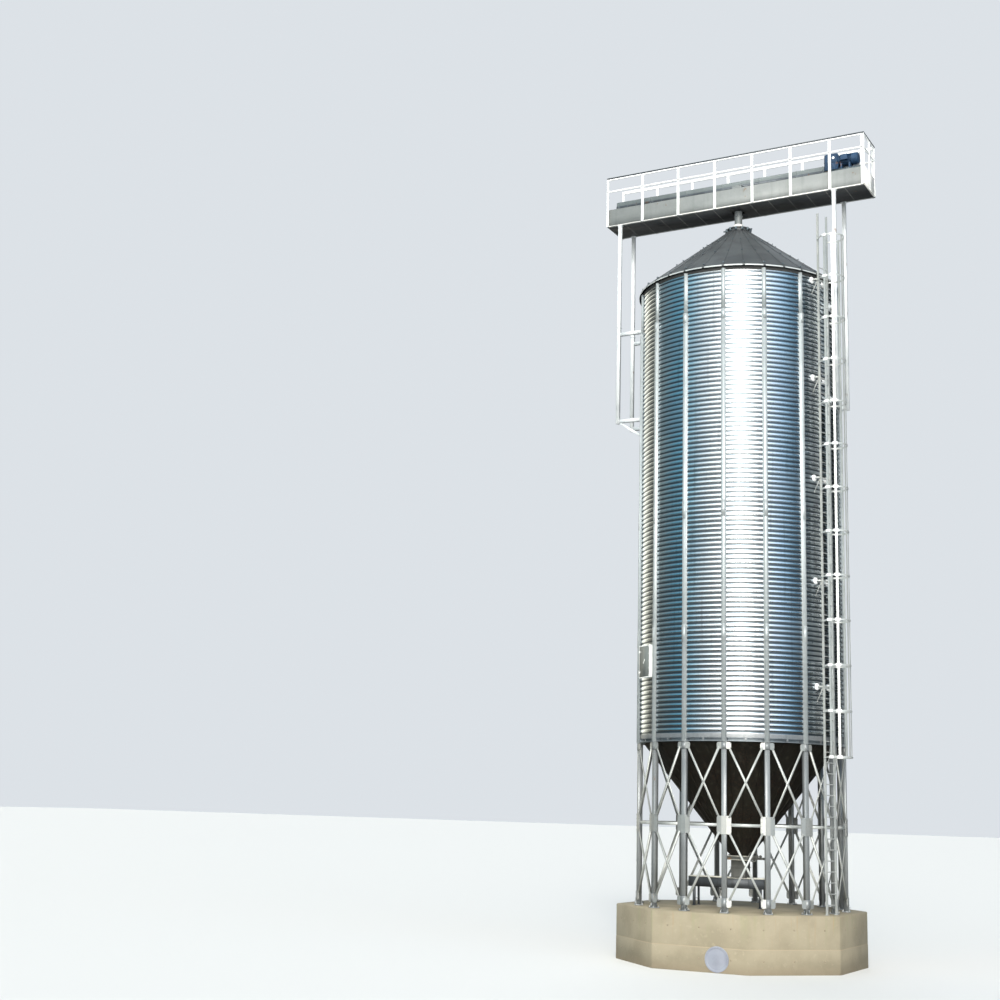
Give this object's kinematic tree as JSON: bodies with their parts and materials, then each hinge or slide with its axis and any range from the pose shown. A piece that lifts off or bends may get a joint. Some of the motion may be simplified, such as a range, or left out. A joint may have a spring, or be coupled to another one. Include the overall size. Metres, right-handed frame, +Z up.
{
  "type": "grain silo",
  "caption": "Corrugated steel grain silo with a cone hopper on braced legs over an octagonal concrete plinth, with a caged ladder and a conveyor gallery above its roof.",
  "frame": {"origin": "the silo's axis at ground level, at the middle of the plinth's underside", "axes": "+Z up along the silo's axis; +X along the gallery, towards its drive end; -Y towards the front, where the duct cover is"},
  "size_m": [8.6453, 6.7663, 24.84],
  "materials": {
    "concrete": "rough cast concrete with stains; matte_plastic stands in for it",
    "frame_steel": "dull galvanised steel",
    "galvanised": "satin galvanised steel, corrugated",
    "roof_steel": "weathered galvanised steel",
    "hopper_steel": "weathered galvanised steel",
    "ladder_steel": "galvanised steel",
    "gallery_steel": "light grey, slightly weathered",
    "white_paint": "white, slightly weathered",
    "machine_paint": "blue-grey satin"
  },
  "bodies": {
    "root": {"plinth": "concrete", "duct_cover": "machine_paint", "column_01": "frame_steel", "column_02": "frame_steel", "column_03": "frame_steel", "column_04": "frame_steel", "column_05": "frame_steel", "column_06": "frame_steel", "column_07": "frame_steel", "column_08": "frame_steel", "column_09": "frame_steel", "column_10": "frame_steel", "column_11": "frame_steel", "column_12": "frame_steel", "column_13": "frame_steel", "column_14": "frame_steel", "column_15": "frame_steel", "column_16": "frame_steel", "bracing_right_front": "frame_steel", "bracing_right_rear": "frame_steel", "bracing_left_rear": "frame_steel", "bracing_left_front": "frame_steel", "ring_girder": "frame_steel", "wall_right_front": "galvanised", "wall_right_rear": "galvanised", "wall_left_rear": "galvanised", "wall_left_front": "galvanised", "roof": "roof_steel", "roof_cap": "roof_steel", "hopper": "hopper_steel", "outlet_gate": "frame_steel", "discharge_trough": "hopper_steel", "inspection_hatch": "frame_steel", "ladder": "ladder_steel", "ladder_cage": "ladder_steel", "gallery_floor": "gallery_steel", "guard_rail_front": "white_paint", "guard_rail_rear": "white_paint", "conveyor_trough": "gallery_steel", "conveyor_drive": "machine_paint", "drop_pipe": "gallery_steel", "gallery_post_right_front": "gallery_steel", "gallery_post_right_rear": "gallery_steel", "gallery_post_left_front": "gallery_steel", "gallery_post_left_rear": "gallery_steel"}
  },
  "joints": []
}
